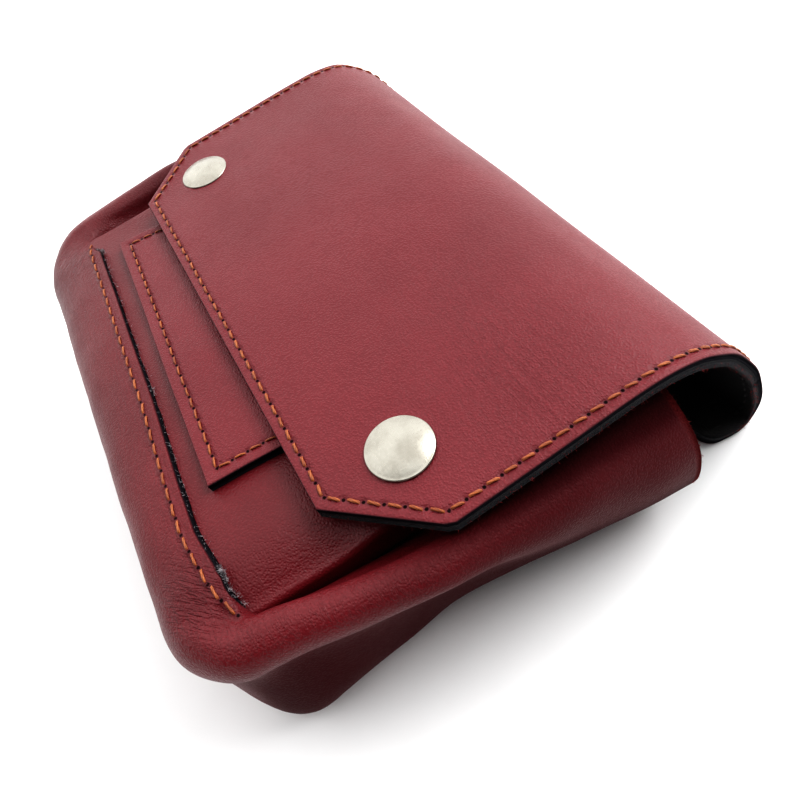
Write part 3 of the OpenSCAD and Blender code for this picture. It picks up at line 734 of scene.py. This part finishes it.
def strip_surface(columns):
    """Outer and inner points of the strip, ring by ring, at section parameters columns (0 to 11),
    with the outward direction at each point and the station of each ring."""
    t, cx, cy, dx, dy = strip_rings()
    control = curve_at(sections, t)
    shift = (CY - lap_y(cx + dx * 6) - 2.3) * ease((t - 4.0) / 1.2)
    control[:, :3, 0] += shift[:, None] * [1, 0.75, 0.3]
    outer = np.stack([curve_at(c, columns) for c in control])
    outer[:, :, 1] = np.maximum(outer[:, :, 1], foot_z(cy)[:, None])
    # The left corner is fuller to the side and flatter at the bottom end
    lean = np.interp(t, [0, 2, 3, 4, 5, 6, 7], [0, 0.9, 2.0, 2.7, 2.4, 0.8, -0.6])
    lean = lean * np.where(t < 6.99, cx < 0, ease((-18 - cx) / 36))
    on_rim = ease((outer[:, :, 0] - 11.4) / 3.6) * ease((outer[:, :, 1] - 14) / 18)
    outer[:, :, 0] += lean[:, None] * on_rim
    normal = outward(np.gradient(outer, axis=1))
    # Each ring lies in a plane of its own: out along (dx, dy), and up
    centre = np.stack([cx, cy, np.zeros(len(t))], axis=1)[:, None]
    plane = np.zeros((len(t), 2, 3))
    plane[:, 0, :2] = np.stack([dx, dy], axis=1)
    plane[:, 1, 2] = 1
    flat = (centre + outer @ plane).reshape(-1, 3)
    soft = (wobble(flat, 34, 21) * 0.38 + wobble(flat, 13, 22) * 0.12).reshape(outer.shape[:2])
    free = ease((columns - 0.6) / 2.0) * ease((10.2 - columns) / 1.5)
    outer = outer + normal * (soft * free)[:, :, None]
    return centre + outer @ plane, centre + (outer - normal * SOFT) @ plane, normal @ plane, t


def body_strip():
    """The strip as one closed band, spread a little open along its lapped edge."""
    columns = np.r_[0, 0.03, 0.08, 0.16, 0.3, 0.5, 0.7, 0.85, np.linspace(1, 11, 61)]
    outer, inner, normal, t = strip_surface(columns)
    rows, cols = outer.shape[:2]
    arc = np.insert(np.cumsum(np.linalg.norm(np.diff(outer, axis=1), axis=2), axis=1), 0, 0, axis=1)
    outer = outer - normal * (np.maximum(0.35 - arc, 0) ** 2 / 0.35)[:, :, None]
    lap = ease((t - 4.35) / 0.5)[:, None]
    toward_edge = unit(outer[:, 0] - outer[:, 12])
    uneven = wobble(outer[:, 0], 3.5, 61)[:, None]
    flare = lap * (LAP_FLARE * (0.55 + outer[:, :1, 0] / 140) + 0.12 * uneven)
    inner[:, :4] += (toward_edge * flare)[:, None] * np.array([1, 0.75, 0.5, 0.25])[:, None]
    verts = np.concatenate([outer, inner[:, ::-1]], axis=1).reshape(-1, 3)
    edge = np.clip(1 - np.concatenate([arc, arc[:, ::-1]], axis=1) / 0.25, 0, 1) * np.maximum(lap, 0.6)
    edge[:, -8:] = np.maximum(edge[:, -8:], lap)
    is_inner = np.arange(2 * cols) >= cols
    flesh = np.maximum(is_inner * (1 - edge), at_mouth(verts).reshape(rows, -1))
    x, y, z = verts.T
    pucker = np.exp(-(((np.abs(x) - 63) / 10) ** 2 + ((y + 59) / 8) ** 2)) * (z > 40)
    # Painted shade: the leather is made dark and dull in the recess under the rolled rim, most of all towards
    # the mouth
    under_rim = ease((columns - 5.3) / 2.3) * (1 - 0.45 * ease((columns - 8) / 2))
    painted_rim_shade = under_rim * (1 - 0.8 * ease((t - 5.2) / 1.4))[:, None]
    painted_rim_shade = painted_rim_shade * (0.9 + 0.1 * ease((outer[:, :, 1] + 35) / 60))
    # Painted shadow of the flap: darker towards the mouth, a little less on the rim's outer bulge
    painted_flap_shadow = 0.6 + 0.35 * ease((87 - np.abs(outer[:, :, 0])) / 3.5)
    painted_flap_shadow = painted_flap_shadow * ease((outer[:, :, 1] + 42) / 44) * ease((columns - 1.0) / 2.0)
    painted_shade = np.concatenate([np.maximum(painted_rim_shade, painted_flap_shadow), np.zeros((rows, cols))], axis=1)
    return build("body_strip_leather", verts, folded_faces(rows, cols, flip=False), body_skin, {
        "edge": edge.ravel(), "flesh": flesh.ravel(), "pucker": pucker, "painted_shade": painted_shade.ravel(),
        "crease": 0.4 * (0.22 + 0.35 * ease((z - 30) / 15)), "seam": seam_near(verts, *bottom_seam())})


def at_mouth(verts):
    """1 for the points on the cut edge round the pouch's mouth."""
    return (np.abs(verts[:, 1] - MOUTH_Y) < 0.01) * 1.0


def bottom_seam():
    """Stitch line of the bottom seam, a little in from the lapped edge, with its stitch counts."""
    outer, _, _, t = strip_surface(np.linspace(0, 3, 61))
    line = np.concatenate([points_at([LAP_STITCH], run_lengths(ring), ring) for ring in outer[t > 4.72]])
    return line, counted(line, 4.6)


def seam_near(points, path, counts, reach=6.0):
    """The seam attribute of points near a stitch line in space."""
    seam = np.tile([0.0, reach, 0.0], (len(points), 1))
    close = ((points > path.min(0) - reach) & (points < path.max(0) + reach)).all(1)
    count, distance, _ = nearest_on_path(points[close], path, counts)
    found = np.stack([count, distance, np.ones(len(count))], axis=1)
    seam[close] = np.where(distance[:, None] < reach, found, seam[close])
    return seam


def spans_along(line, counts, up, lift=0.0):
    """Stitch spans between the whole counts of a line, on the side that up points to."""
    up = unit(up)
    at = points_at(np.arange(round(counts[-1]) + 1), counts, line) + up * lift
    return [(a, b, up) for a, b in zip(at[:-1], at[1:])]


attach(body_strip(), "pouch", "body_leather", "bottom_strip", "gusset_left", "gusset_right")
attach(stitches("bottom_seam_stitching", spans_along(*bottom_seam(), (0, -0.06, 1), -0.04), 0.3, 0.3),
       "pouch", "thread", "bottom_seam_thread")

# ---- Front panel and slip pocket ----

front_profile = np.array([(-60, 48.05), (-50, 47.95), (-45, 47.6), (-38, 47.15), (-31, 46.5), (-25, 45.4),
                          (-18.5, 43.95), (-12, 43.8), (0, 43.8), (20, 43.8), (44, 43.6)])


def front_height(x, y):
    """Height of the front panel's outer face."""
    x, y = np.broadcast_arrays(x, y)
    t = np.interp(y, front_profile[:, 0], np.arange(len(front_profile)))
    z = curve_at(front_profile, t.ravel())[:, 1].reshape(x.shape)
    drop = 4.6 * np.clip((x - 56) / 15.5, 0, 1.05) ** 2 * ease((-y - 18) / 15)
    lift = np.clip((-x - 50) / 21, 0, 1.05) ** 2 * np.clip(47.8 - z, 0, 4) * ease((-y - 22) / 8)
    calm = ease((-y - 20) / 6)
    flat = np.stack([x.ravel(), y.ravel(), np.zeros(x.size)], axis=1)
    soft = (wobble(flat, 42, 31) * 0.28 + wobble(flat, 16, 32) * 0.08).reshape(x.shape)
    return z - drop + lift + soft * calm


def wall_foot(y):
    """Height of the foot of the front panel's turned-down side edge."""
    return np.interp(y, [-58, -47.5, -33, -15, 15, MOUTH_Y], [42, 36, 34.5, 34.3, 36.9, 39])


def front_sheet():
    """The front panel as one closed band. Each side edge turns down into a wall beside the rim."""
    ys = np.r_[np.linspace(-58, -18, 46), np.linspace(-16, MOUTH_Y, 30)]
    bend = 1.6
    core = np.linspace(-1, 1, 75)
    turn = np.radians(np.linspace(0, 90, 10)[1:])
    rows = []
    for y in ys:
        half = FRONT_HALF - 0.95 * max(0, -51.5 - y)
        top_x = core * (half - bend)
        z = front_height(top_x, y)
        edge_z = z[-1] - bend
        arc = np.stack([half - bend + bend * np.sin(turn), edge_z + bend * np.cos(turn)], axis=1)
        wall_z = np.linspace(edge_z, min(wall_foot(y), edge_z - 0.5), 7)[1:]
        right_side = np.r_[arc, [(half, w) for w in wall_z]]
        left_side = right_side[::-1] * [-1, 1] + [0, z[0] - z[-1]]
        line = np.r_[left_side, np.stack([top_x, z], axis=1), right_side]
        inner = line - outward(np.gradient(line, axis=0)) * SOFT
        rows.append(np.insert(np.r_[line, inner[::-1]], 1, y, axis=1))
    verts = np.concatenate(rows)
    is_inner = np.tile(np.repeat([0.0, 1.0], len(line)), len(ys))
    return build("front_panel_leather", verts, folded_faces(len(ys), len(line), flip=True), body_skin, {
        "flesh": np.maximum(is_inner, at_mouth(verts)), "crease": np.full(len(verts), 0.06)})


attach(front_sheet(), "pouch", "body_leather", "front_panel")

POCKET_MID = np.array([-6.5, -25.2])
POCKET_A, POCKET_B = 50.0, 21.0  # half the pocket's length and width
POCKET_T = 2.6
SKEW = math.radians(-2.4)
POCKET_STITCH = 3.2
POCKET_PRESS = 0.25  # how deep the pocket's stitches are pressed in


def pocket_xy(a, b):
    """Row-frame place of a point given along (a) and across (b) the pocket."""
    c, s = math.cos(SKEW), math.sin(SKEW)
    return POCKET_MID[0] + a * c - b * s, POCKET_MID[1] + a * s + b * c


def slip_pocket():
    """The patch sewn to the front panel, which it follows."""
    inset = np.array([0, 0.1, 0.25, 0.5, 1.0, 1.8, 2.6, 3.2, 3.8, 5, 7])
    along = np.r_[-POCKET_A + inset, np.linspace(-40, 40, 41), POCKET_A - inset[::-1]]
    across = np.r_[-POCKET_B + inset, np.linspace(-11, 17, 17), POCKET_B - inset[:5][::-1]]
    a, b = np.meshgrid(along, across)
    x, y = pocket_xy(a, b)
    base = front_height(x, y)
    inward = np.minimum(POCKET_A - np.abs(a), POCKET_B - np.abs(b))
    press = POCKET_PRESS * np.exp(-((inward - POCKET_STITCH) / 1.4) ** 2)
    top = base + POCKET_T - rounding(inward, 0.4) - press
    verts = np.concatenate([np.stack([x, y, z], axis=-1).reshape(-1, 3) for z in (top, base + 0.03)])
    n = top.size
    seam = seam_near(verts, *pocket_seam())
    seam[n:] = (0, 9, 0)  # no stitches on the lower face
    edge = np.r_[np.clip(1 - inward.ravel() / 0.2, 0, 1), np.ones(n)]
    return build("slip_pocket_leather", verts, slab_faces(*a.shape), flap_skin, {
        "edge": edge, "crease": np.full(2 * n, 0.05), "seam": seam})


def pocket_seam():
    """Stitch line along three sides of the pocket, open towards the flap, with its stitch counts."""
    side, low, end = POCKET_A - POCKET_STITCH, POCKET_STITCH - POCKET_B, POCKET_B - 1
    corners = np.array([(-side, end), (-side, low), (side, low), (side, end)])
    table = np.column_stack([corners, corner_counted(corners, 3.9)])
    a, b, counts = points_at(np.linspace(0, 3, 3 * 24 + 1), np.arange(4), table).T
    x, y = pocket_xy(a, b)
    return np.stack([x, y, front_height(x, y) + POCKET_T - POCKET_PRESS], axis=1), counts


attach(slip_pocket(), "pouch", "body_leather", "slip_pocket")
attach(stitches("pocket_stitching", spans_along(*pocket_seam(), (0, 0.05, 1), 0.02), 0.26),
       "pouch", "thread", "pocket_thread")

# ---- Lint on the raw edges ----


def fibres(name, roots, ups, length, radius, material, seed):
    """Short bent fibres, one at each root, that stand up from a raw edge."""
    draw = np.random.default_rng(seed)
    steps, sides = 5, 3
    verts, faces = [], []
    angles = np.arange(sides) * 2 * math.pi / sides
    for k, (root, up) in enumerate(zip(roots, np.broadcast_to(ups, roots.shape))):
        heading = unit(unit(up) * draw.uniform(0.15, 0.8) + draw.normal(size=3) * 0.55)
        bend = draw.normal(size=3) * 0.5
        size = length * draw.uniform(0.4, 1.3)
        point = np.array(root, float)
        for i in range(steps):
            d = unit(heading + bend * i / steps)
            a = unit(np.cross(d, (0.3, 0.5, 0.8)))
            b = np.cross(d, a)
            r = radius * (1 - 0.6 * i / (steps - 1))
            verts.append(point + (np.cos(angles) * r)[:, None] * a + (np.sin(angles) * r)[:, None] * b)
            point = point + d * size / (steps - 1)
        faces.append(grid_faces(steps, sides, wrap=True, start=k * steps * sides, flip=True))
    return build(name, np.concatenate(verts), np.concatenate(faces), material)


def lap_roots(count, seed):
    """Places on the lapped edge, a little closer together towards the right corner."""
    draw = np.random.default_rng(seed)
    top, _, _, t = strip_surface(np.linspace(0, 1, 5))
    line = top[t > 4.6, 0]
    share = (len(line) - 1) * draw.uniform(0, 1, count) ** 1.15
    edge = points_at(share, np.arange(len(line)), line)
    return edge + np.stack([0 * share, draw.uniform(0.1, 0.9, count), -draw.uniform(0.2, 1.1, count)], 1)


def mouth_roots(count, seed):
    """Places on the strip's two cut ends, at the mouth."""
    draw = np.random.default_rng(seed)
    top, low, _, _ = strip_surface(np.sort(draw.uniform(0.5, 9.0, count)))
    depth = draw.uniform(0, 1, count)[:, None]
    end = np.where(draw.uniform(0, 1, count) < 0.5, 0, len(top) - 1)
    k = np.arange(count)
    return top[end, k] * (1 - depth) + low[end, k] * depth


def rim_roots(s_from, s_to, count, seed):
    """Places along the lining's cut side edges, at its inner face, with the way out of the sheet."""
    draw = np.random.default_rng(seed)
    s = draw.uniform(s_from, s_to, count)
    side = np.where(draw.uniform(0, 1, count) < 0.5, -1.0, 1.0)
    wide = np.array([half_width(v, np.zeros(1))[0] for v in s])
    u = side * (wide + draw.uniform(-0.2, 0.3, count))
    points, normals = sheet_at(u, s, 2 * SKIN + 0.6 - draw.uniform(0.0, 1.3, count))
    return points, np.outer(side * 0.7, (1, 0, 0)) - normals


attach(fibres("bottom_seam_lint", lap_roots(620, 71), (0.0, 0.6, 1.0), 0.9, 0.05, grey_lint, 72),
       "pouch", "lining_suede")
attach(fibres("mouth_edge_fuzz", mouth_roots(520, 73), (0.0, 1.0, 0.1), 0.7, 0.06, red_lint, 74),
       "pouch", "body_leather")
attach(fibres("flap_lining_fuzz", *rim_roots(0, MID_RUN, 900, 75), 0.7, 0.05, red_lint, 76),
       UPPER_FOLD, "lining_suede")
attach(fibres("spine_lining_fuzz", *rim_roots(MID_RUN, SHOULDER_RUN - 4, 420, 77), 0.8, 0.055, red_lint, 78),
       LOWER_FOLD, "lining_suede")

# ---- Back panel and its seams ----

BACK_TOP, BACK_BOTTOM = 50.0, -65.0
BACK_R = 15.0
BASE_IN = 5.0  # from the panel's edge in to the base seam
BASE_PITCH = 4.0
TAIL_ROWS = (21.0, 27.0)
TAIL_HALF = 65.5
TAIL_STITCHES = 33
GROOVE = 0.55
HIDDEN_RADIUS = 0.26  # of the thread in the seams underneath


def base_line():
    """Line of the base seam in plan, from the right side of the mouth round to the left."""
    x, r = BACK_HALF - BASE_IN, BACK_R - BASE_IN
    y = BACK_BOTTOM + BACK_R
    turn = np.radians(np.linspace(0, 90, 12))
    arc = np.stack([x - r + r * np.cos(turn), y - r * np.sin(turn)], axis=1)
    right = np.r_[[(x, v) for v in np.linspace(41, y, 21)[:-1]], arc]
    return np.r_[right, right[::-1] * [-1, 1]]


def tail_row(y, z):
    """One row of the seam that holds the sheet's tail, with its stitch counts."""
    return np.array([(-TAIL_HALF, y, z), (TAIL_HALF, y, z)]), np.array([0.0, TAIL_STITCHES])


def back_sheet():
    """The back panel, with its seams pressed into its lower face."""
    inset = np.array([0, 0.1, 0.25, 0.5, 1, 2, 3, 3.8, 4.4, 4.7, 5, 5.3, 5.6, 6.2, 7.5])
    near_row = [y + d for y in TAIL_ROWS for d in (-0.9, -0.5, -0.2, 0.2, 0.5, 0.9)]
    ys = np.sort(np.r_[BACK_BOTTOM + inset, np.linspace(-55, 18, 37), near_row, np.linspace(30, 48.5, 9),
                       BACK_TOP - inset[:5]])
    core = np.linspace(-1, 1, 61)[1:-1]
    rows = []
    for y in ys:
        into = np.clip(BACK_BOTTOM + BACK_R - y, 0, BACK_R - 0.01)
        half = BACK_HALF - BACK_R + math.sqrt(BACK_R ** 2 - into ** 2)
        xs = np.r_[-half + inset, core * (half - inset[-1]), half - inset[::-1]]
        rows.append([(x, y, 0) for x in xs])
    flat = np.concatenate(rows)
    corner_x = np.maximum(np.abs(flat[:, 0]) - (BACK_HALF - BACK_R), 0)
    corner_y = np.maximum(BACK_BOTTOM + BACK_R - flat[:, 1], 0)
    inward = np.minimum(BACK_R - np.hypot(corner_x, corner_y), BACK_TOP - flat[:, 1])
    inward = np.maximum(inward, 0)
    line = np.insert(base_line(), 2, 0.0, axis=1)
    seam = seam_near(flat, line, counted(line, BASE_PITCH))
    for y in TAIL_ROWS:
        more = seam_near(flat, *tail_row(y, 0.0), reach=2.5)
        seam = np.where(more[:, 2:] > 0, more, seam)
    rolled = rounding(inward, 0.5)
    groove = GROOVE * np.exp(-(seam[:, 1] / 0.55) ** 2) * seam[:, 2]
    soft = 0.1 * (1 + wobble(flat, 40, 41)) * ease(inward / 6)
    up = np.array([0, 0, 1])
    top = flat + np.outer(BACK - rolled, up)
    low = flat + np.outer(rolled + groove + soft, up)
    n = len(flat)
    faces = slab_faces(len(rows), len(rows[0]))
    return build("back_panel_leather", np.r_[top, low], faces, body_skin, {
        "edge": np.tile(np.clip(1 - inward / 0.3, 0, 1), 2), "flesh": np.repeat([1.0, 0.0], n),
        "crease": np.full(2 * n, 0.12), "seam": np.r_[np.zeros((n, 3)), seam]})


attach(back_sheet(), "pouch", "body_leather", "back_panel")

base_plan = base_line()
base_counts = counted(base_plan, BASE_PITCH)
base_spans = []
for z, up in ((foot_z(base_plan[:, 1]) + SOFT, 1), (GROOVE + 0.05, -1)):
    base_spans += spans_along(np.insert(base_plan, 2, z, axis=1), base_counts, (0, 0, up))
attach(stitches("base_seam_stitching", base_spans, HIDDEN_RADIUS), "pouch", "thread", "base_seam_thread")

tail_spans = []
for y in TAIL_ROWS:
    for z, up in ((BACK + 2 * SKIN, 1), (GROOVE + 0.05, -1)):
        tail_spans += spans_along(*tail_row(y, z), (0, 0, up))
attach(stitches("tail_seam_stitching", tail_spans, HIDDEN_RADIUS), "pouch", "thread", "tail_seam_thread")

for side, name in ((1, "right"), (-1, "left")):
    ys = np.linspace(-44, 38, 23)
    wall_line = np.array([(side * (FRONT_HALF - SOFT), y, wall_foot(y) + 2) for y in ys])
    wall_spans = spans_along(wall_line, np.arange(len(ys)), (-side, 0, 0))
    attach(stitches("valley_stitching_" + name, wall_spans, 0.28),
           "pouch", "thread", "gusset_seam_thread_" + name)

# ---- Press studs ----

FLAP_TOP = 52.4
CAP_R = 7.5
CAP_RIM = 0.33
CAP_SIDES = 120


def cap_profile():
    """The cap's section as (radius, height over the flap): a low dome with a rolled rim."""
    dome = [(r, 0.52 + 1.38 * (1 - (r / 7.25) ** 2.3)) for r in np.linspace(0, 7.0, 26)[1:]]
    rim = [(CAP_R - CAP_RIM + CAP_RIM * math.sin(a), 0.26 + CAP_RIM * math.cos(a))
           for a in np.radians(np.linspace(0, 150, 12))]
    return np.array([(0.02, 1.9)] + dome + rim + [(6.9, -0.02), (5.5, -0.05)])


def snap_cap(name, x, y):
    """A domed cap on the flap at (x, y), turned from its section."""
    profile = cap_profile()
    rings = [(x + r * math.cos(a), y + r * math.sin(a), FLAP_TOP + z)
             for r, z in profile for a in np.arange(CAP_SIDES) * 2 * math.pi / CAP_SIDES]
    # The cap is made darker, warmer and rougher low on its rim, towards the flap
    low_rim = np.repeat(np.clip((0.45 - profile[:, 1]) / 0.4, 0, 1), CAP_SIDES)
    return build(name, rings, closed_tube(len(profile), CAP_SIDES), cap_metal, {"rim": low_rim})


for side, (x, y) in snap_spots.items():
    attach(snap_cap("snap_cap_dome_" + side, x, y), "flap", "cap_nickel", "snap_cap_" + side)

for part, finish in (("snap_socket", cap_metal), ("snap_spring", wire_metal), ("stud", stud_metal),
                     ("stud_post", stud_metal)):
    for side in snap_spots:
        for material_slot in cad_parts[part + "_" + side].material_slots:
            material_slot.material = finish

# ---- Camera, floor and light ----

FLOOR_HALF = 3000
floor_corners = FLOOR_HALF * np.array([(-1, -1, 0), (1, -1, 0), (1, 1, 0), (-1, 1, 0)])
build("floor", floor_corners, [(0, 1, 2, 3)], paper_material("floor_paper"))

# The camera stands where it stood for the photo. Lengths are in metres from here on
scene = bpy.context.scene
camera = bpy.data.objects.new("camera", bpy.data.cameras.new("camera"))
scene.collection.objects.link(camera)
right = Vector((0.49183, 0.83284, -0.25391))
down = Vector((0.64951, -0.54516, -0.53003))
forward = Vector((-0.57986, 0.09577, -0.80907))
turned = Matrix((right, -down, -forward)).transposed()
camera.matrix_world = Matrix.Translation((0.1285, -0.01637, 0.1579)) @ turned.to_4x4()
camera.data.lens = 27.98
camera.data.sensor_width = 36
camera.data.clip_start = 0.005
camera.data.clip_end = 50
scene.camera = camera

# One large soft light, high on the spine's side
KEY_PLACE = Vector((0.08, 0.82, 0.8))
key = bpy.data.lights.new("key", "AREA")
key.shape = "RECTANGLE"
key.size, key.size_y = 0.7, 0.7
key.energy = 8
key_light = bpy.data.objects.new("key", key)
scene.collection.objects.link(key_light)
key_light.location = KEY_PLACE
key_light.rotation_euler = (Vector((0, 0, 0.03)) - KEY_PLACE).to_track_quat("-Z", "Y").to_euler()

# The sky is bright over the far side, which the camera faces, and pale along the horizon
world = bpy.data.worlds.new("studio")
scene.world = world
world.use_nodes = True
sky = Nodes(world.node_tree)
direction = sky.place("Generated")
facing = sky.make("ShaderNodeVectorMath", (direction, (-0.72, 0.18, 0.67)), operation="DOT_PRODUCT")
room = sky.ramp(facing.outputs["Value"], 0.1, 0.65, kind="LINEAR")
horizon = sky.ramp(sky.split(direction)[2], 0.0, 0.34, 0.6, 0.0, kind="LINEAR")
background = world.node_tree.nodes["Background"]
background.inputs["Strength"].default_value = 1.65
sky.put(background.inputs["Color"], sky.larger(room, horizon))
scene.view_settings.view_transform = "Standard"
scene.view_settings.look = "High Contrast"
